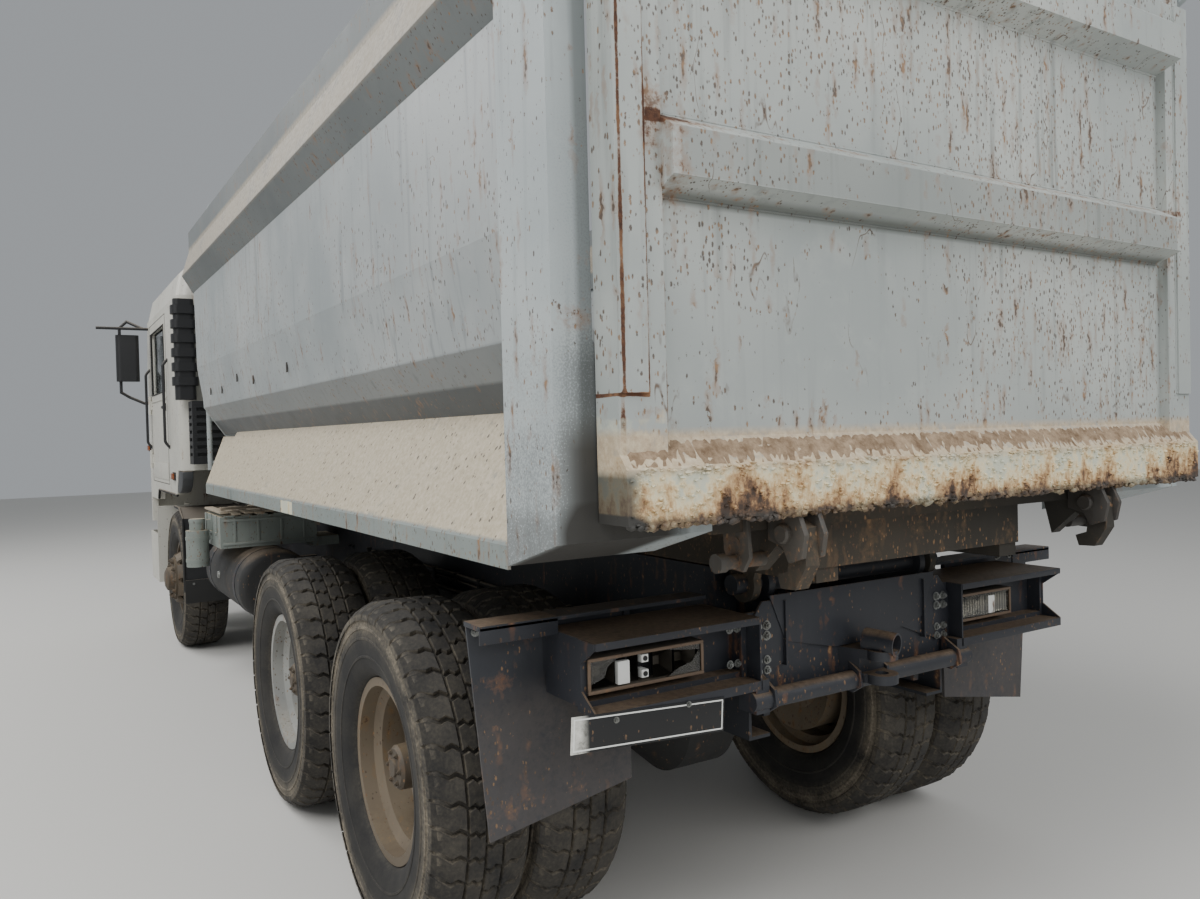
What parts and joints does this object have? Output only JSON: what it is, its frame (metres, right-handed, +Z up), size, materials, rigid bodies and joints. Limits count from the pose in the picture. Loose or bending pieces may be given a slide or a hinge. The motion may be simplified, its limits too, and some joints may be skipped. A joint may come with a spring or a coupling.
{
  "type": "three-axle dump truck",
  "caption": "Heavy dump truck with a smooth-sided tipping tub, top-hung tailgate, front hoist, tilting cab, steered front wheels and twin rear wheels.",
  "frame": {"origin": "on the ground at mid length, midway between the sides", "axes": "+X forward, +Y to the left side, +Z up"},
  "size_m": [8.13, 3.24, 3.25],
  "materials": {
    "chassis_paint": "matt weathered enamel",
    "grey_paint": "dusty enamel",
    "body_paint": "chalky enamel with rust",
    "cab_paint": "gloss enamel under dust",
    "glazing": "clear",
    "hoist_steel": "ground",
    "black_plastic": "moulded",
    "seat_cloth": "woven",
    "tyre_rubber": "dusty",
    "rim_paint": "dusty enamel"
  },
  "bodies": {
    "chassis": {"chassis_frame": "chassis_paint", "tipping_subframe": "chassis_paint", "front_axle_beam": "chassis_paint", "leaf_springs": "chassis_paint", "rear_axle_housings": "chassis_paint", "prop_shafts": "chassis_paint", "engine": "chassis_paint", "tanks": "chassis_paint", "battery_box": "grey_paint", "air_tanks": "chassis_paint", "exhaust": "grey_paint", "air_cleaner": "black_plastic", "rear_crossbeam": "chassis_paint", "tail_lamps": "glazing", "mud_flaps": "chassis_paint", "front_bumper": "cab_paint", "headlamps": "glazing", "front_mudguards": "grey_paint"},
    "bed": {"bed_floor": "body_paint", "bed_sides": "body_paint", "bed_rear_posts": "body_paint", "bed_top_rails": "body_paint", "bed_skirts": "body_paint", "bed_underframe": "body_paint", "bed_front_wall": "body_paint"},
    "tailgate": {"tailgate_panel": "body_paint", "tailgate_frame": "body_paint"},
    "barrel": {"hoist_barrel": "chassis_paint"},
    "stage_1": {"hoist_stage_1": "hoist_steel"},
    "stage_2": {"hoist_stage_2": "hoist_steel"},
    "rod": {"hoist_rod": "hoist_steel"},
    "cab": {"cab_body": "cab_paint", "cab_floor": "cab_paint", "cab_roof": "cab_paint", "cab_glass": "glazing", "seats": "seat_cloth", "dashboard": "black_plastic", "mirrors": "black_plastic", "intake_duct": "black_plastic"},
    "door_left": {"door_left": "cab_paint", "door_glass_left": "glazing"},
    "door_right": {"door_right": "cab_paint", "door_glass_right": "glazing"},
    "knuckle_left": {"knuckle_left": "chassis_paint"},
    "knuckle_right": {"knuckle_right": "chassis_paint"},
    "tie_rod": {"tie_rod": "chassis_paint"},
    "wheel_front_left": {"tyre_front_left": "tyre_rubber", "rim_front_left": "rim_paint"},
    "wheel_front_right": {"tyre_front_right": "tyre_rubber", "rim_front_right": "rim_paint"},
    "wheels_middle_left": {"tyres_middle_left": "tyre_rubber", "rims_middle_left": "rim_paint"},
    "wheels_middle_right": {"tyres_middle_right": "tyre_rubber", "rims_middle_right": "rim_paint"},
    "wheels_rear_left": {"tyres_rear_left": "tyre_rubber", "rims_rear_left": "rim_paint"},
    "wheels_rear_right": {"tyres_rear_right": "tyre_rubber", "rims_rear_right": "rim_paint"}
  },
  "joints": [
    {"name": "bed_tilt", "type": "hinge", "parent": "chassis", "child": "bed", "pos_m": [-3.515, 0, 1.2], "axis": [0, -1, 0], "range_deg": [0, 45]},
    {"name": "tailgate_swing", "type": "hinge", "parent": "bed", "child": "tailgate", "pos_m": [-3.9695, 0, 3.085], "axis": [0, 1, 0], "range_deg": [0, 65]},
    {"name": "hoist_lean", "type": "hinge", "parent": "chassis", "child": "barrel", "pos_m": [1.465, 0, 0.9], "axis": [0, -1, 0], "range_deg": [0, 30]},
    {"name": "stage_1_slide", "type": "slide", "parent": "barrel", "child": "stage_1", "axis": [0.047, 0, 0.9989], "range_m": [0, 1.26]},
    {"name": "stage_2_slide", "type": "slide", "parent": "stage_1", "child": "stage_2", "axis": [0.047, 0, 0.9989], "range_m": [0, 1.26]},
    {"name": "rod_slide", "type": "slide", "parent": "stage_2", "child": "rod", "axis": [0.047, 0, 0.9989], "range_m": [0, 1.26]},
    {"name": "cab_tilt", "type": "hinge", "parent": "chassis", "child": "cab", "pos_m": [3.915, 0, 0.9], "axis": [0, 1, 0], "range_deg": [0, 50]},
    {"name": "door_left_swing", "type": "hinge", "parent": "cab", "child": "door_left", "pos_m": [3.658, 1.214, 2], "axis": [0, 0, -1], "range_deg": [0, 75]},
    {"name": "door_right_swing", "type": "hinge", "parent": "cab", "child": "door_right", "pos_m": [3.658, -1.214, 2], "axis": [0, 0, 1], "range_deg": [0, 75]},
    {"name": "steer_left", "type": "hinge", "parent": "chassis", "child": "knuckle_left", "pos_m": [2.665, 0.86, 0.556], "axis": [0, 0, 1], "range_deg": [-35, 35]},
    {"name": "steer_right", "type": "hinge", "parent": "chassis", "child": "knuckle_right", "pos_m": [2.665, -0.86, 0.556], "axis": [0, 0, 1], "range_deg": [-35, 35]},
    {"name": "tie_rod_pivot", "type": "hinge", "parent": "knuckle_left", "child": "tie_rod", "pos_m": [2.435, 0.79, 0.435], "axis": [0, 0, 1], "range_deg": [-35, 35]},
    {"name": "front_left_spin", "type": "hinge", "parent": "knuckle_left", "child": "wheel_front_left", "pos_m": [2.665, 1.01, 0.556], "axis": [0, 1, 0], "continuous": true},
    {"name": "front_right_spin", "type": "hinge", "parent": "knuckle_right", "child": "wheel_front_right", "pos_m": [2.665, -1.01, 0.556], "axis": [0, 1, 0], "continuous": true},
    {"name": "middle_left_spin", "type": "hinge", "parent": "chassis", "child": "wheels_middle_left", "pos_m": [-1.255, 0.916, 0.556], "axis": [0, 1, 0], "continuous": true},
    {"name": "middle_right_spin", "type": "hinge", "parent": "chassis", "child": "wheels_middle_right", "pos_m": [-1.255, -0.916, 0.556], "axis": [0, 1, 0], "continuous": true},
    {"name": "rear_left_spin", "type": "hinge", "parent": "chassis", "child": "wheels_rear_left", "pos_m": [-2.635, 0.916, 0.556], "axis": [0, 1, 0], "continuous": true},
    {"name": "rear_right_spin", "type": "hinge", "parent": "chassis", "child": "wheels_rear_right", "pos_m": [-2.635, -0.916, 0.556], "axis": [0, 1, 0], "continuous": true}
  ],
  "couplings": [
    {"joint": "hoist_lean", "follows": "bed_tilt", "ratio": 0.6414},
    {"joint": "stage_1_slide", "follows": "bed_tilt", "m_per_rad": 1.5796},
    {"joint": "stage_2_slide", "follows": "bed_tilt", "m_per_rad": 1.5796},
    {"joint": "rod_slide", "follows": "bed_tilt", "m_per_rad": 1.5796},
    {"joint": "steer_right", "follows": "steer_left", "ratio": 1},
    {"joint": "tie_rod_pivot", "follows": "steer_left", "ratio": -1}
  ]
}
